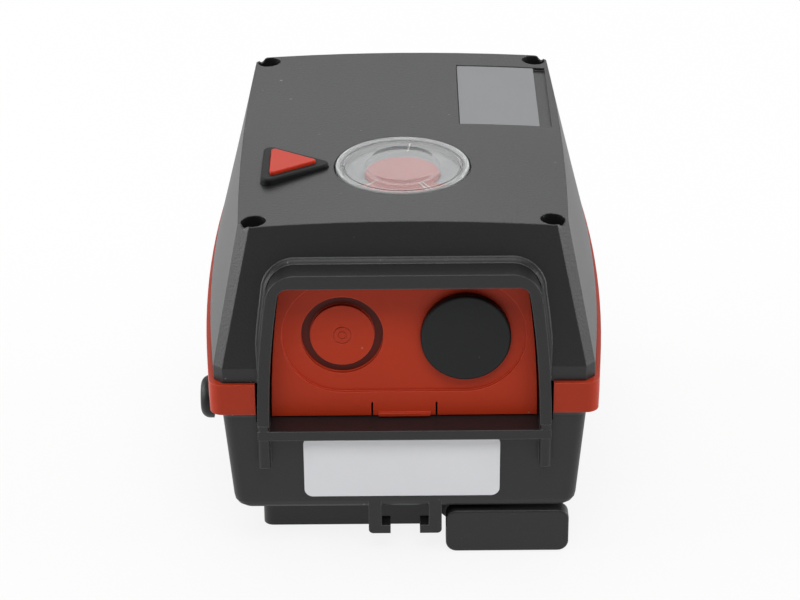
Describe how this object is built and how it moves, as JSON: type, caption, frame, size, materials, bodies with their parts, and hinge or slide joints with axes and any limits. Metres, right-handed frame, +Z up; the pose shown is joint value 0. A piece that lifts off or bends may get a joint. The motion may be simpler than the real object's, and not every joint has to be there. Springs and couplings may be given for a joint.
{
  "type": "motorised valve actuator",
  "caption": "Quarter-turn motorised valve actuator: crowned casing, colour band, recessed cable-entry end, push-to-release gear clutch, position window and hand lever under the base.",
  "frame": {"origin": "on the output axis, in the plane of the base, at the mouth of the output socket", "axes": "+Z up along the output axis, away from the valve; -Y towards the cable-entry end; +X to the right when that end is faced"},
  "size_m": [0.1048, 0.1253, 0.0926],
  "materials": {
    "casing_plastic": "fine-grained moulded dark grey plastic",
    "accent_plastic": "satin moulded orange-red plastic",
    "black_plastic": "satin black moulded plastic",
    "button_red": "satin red moulded plastic",
    "lens_clear": "clear moulded window",
    "disc_white": "pale moulded plastic",
    "label_white": "white coated film",
    "plate_grey": "satin foil plate",
    "rubber_black": "moulded rubber",
    "steel_zinc": "zinc-plated steel",
    "steel_dark": "blackened steel",
    "spring_steel": "drawn spring wire",
    "gear_acetal": "natural acetal",
    "gear_steel": "sintered steel",
    "bronze": "sintered bronze",
    "board_green": "solder-masked board",
    "terminal_grey": "moulded terminal housing",
    "motor_steel": "drawn steel can",
    "switch_black": "moulded switch housing",
    "cam_white": "moulded cam"
  },
  "bodies": {
    "casing": {"lower_casing": "casing_plastic", "upper_cover": "casing_plastic", "colour_band": "accent_plastic", "cover_gasket": "rubber_black", "cover_screws": "steel_dark", "side_plug": "black_plastic", "entry_panel": "accent_plastic", "entry_plug": "black_plastic", "type_label": "label_white", "name_plate": "plate_grey", "indicator_lens": "lens_clear", "lens_seal": "rubber_black", "button_bezel": "black_plastic", "return_spring": "spring_steel", "lower_shaft_bush": "bronze", "upper_shaft_bush": "bronze", "open_limit_switch": "switch_black", "close_limit_switch": "switch_black", "switch_screws": "steel_zinc", "gear_plate": "steel_zinc", "plate_pillars": "steel_zinc", "plate_screws": "steel_zinc", "motor_gearhead": "gear_acetal", "motor_can": "motor_steel", "motor_screws": "steel_zinc", "run_capacitor": "gear_acetal", "circuit_board": "board_green", "board_pillars": "steel_zinc", "board_screws": "steel_zinc", "terminal_block": "terminal_grey", "terminal_screws": "steel_zinc", "base_foot": "casing_plastic", "foot_screws": "steel_zinc"},
    "output": {"output_shaft": "steel_zinc", "output_gear": "gear_steel", "open_limit_cam": "cam_white", "close_limit_cam": "cam_white", "indicator_disc": "disc_white", "indicator_sector": "button_red", "hand_lever": "casing_plastic", "lever_screw": "steel_dark"},
    "release": {"release_button": "button_red", "release_rod": "steel_zinc", "spring_collar": "steel_zinc", "axle_clips": "spring_steel"},
    "clutch": {"clutch_gear": "gear_steel"},
    "motor_drive": {"motor_pinion": "gear_steel", "motor_shaft": "steel_zinc"}
  },
  "joints": [
    {"name": "output_turn", "type": "hinge", "parent": "casing", "child": "output", "pos_m": [0, 0, 0], "axis": [0, 0, 1], "range_deg": [0, 90]},
    {"name": "release_press", "type": "slide", "parent": "casing", "child": "release", "axis": [0, 0, -1], "range_m": [0, 0.003], "stiffness_N_per_m": 400, "springref_m": -0.003, "deforming": ["return_spring"]},
    {"name": "clutch_turn", "type": "hinge", "parent": "release", "child": "clutch", "pos_m": [-0.03, 0, 0.0249], "axis": [0, 0, 1], "range_deg": [-361, 1]},
    {"name": "motor_turn", "type": "hinge", "parent": "casing", "child": "motor_drive", "pos_m": [-0.0183, 0.01497, 0.0336], "axis": [0, 0, 1], "range_deg": [-1, 781]}
  ],
  "couplings": [
    {"joint": "clutch_turn", "follows": "output_turn", "ratio": -4},
    {"joint": "motor_turn", "follows": "output_turn", "ratio": 8.6667}
  ]
}
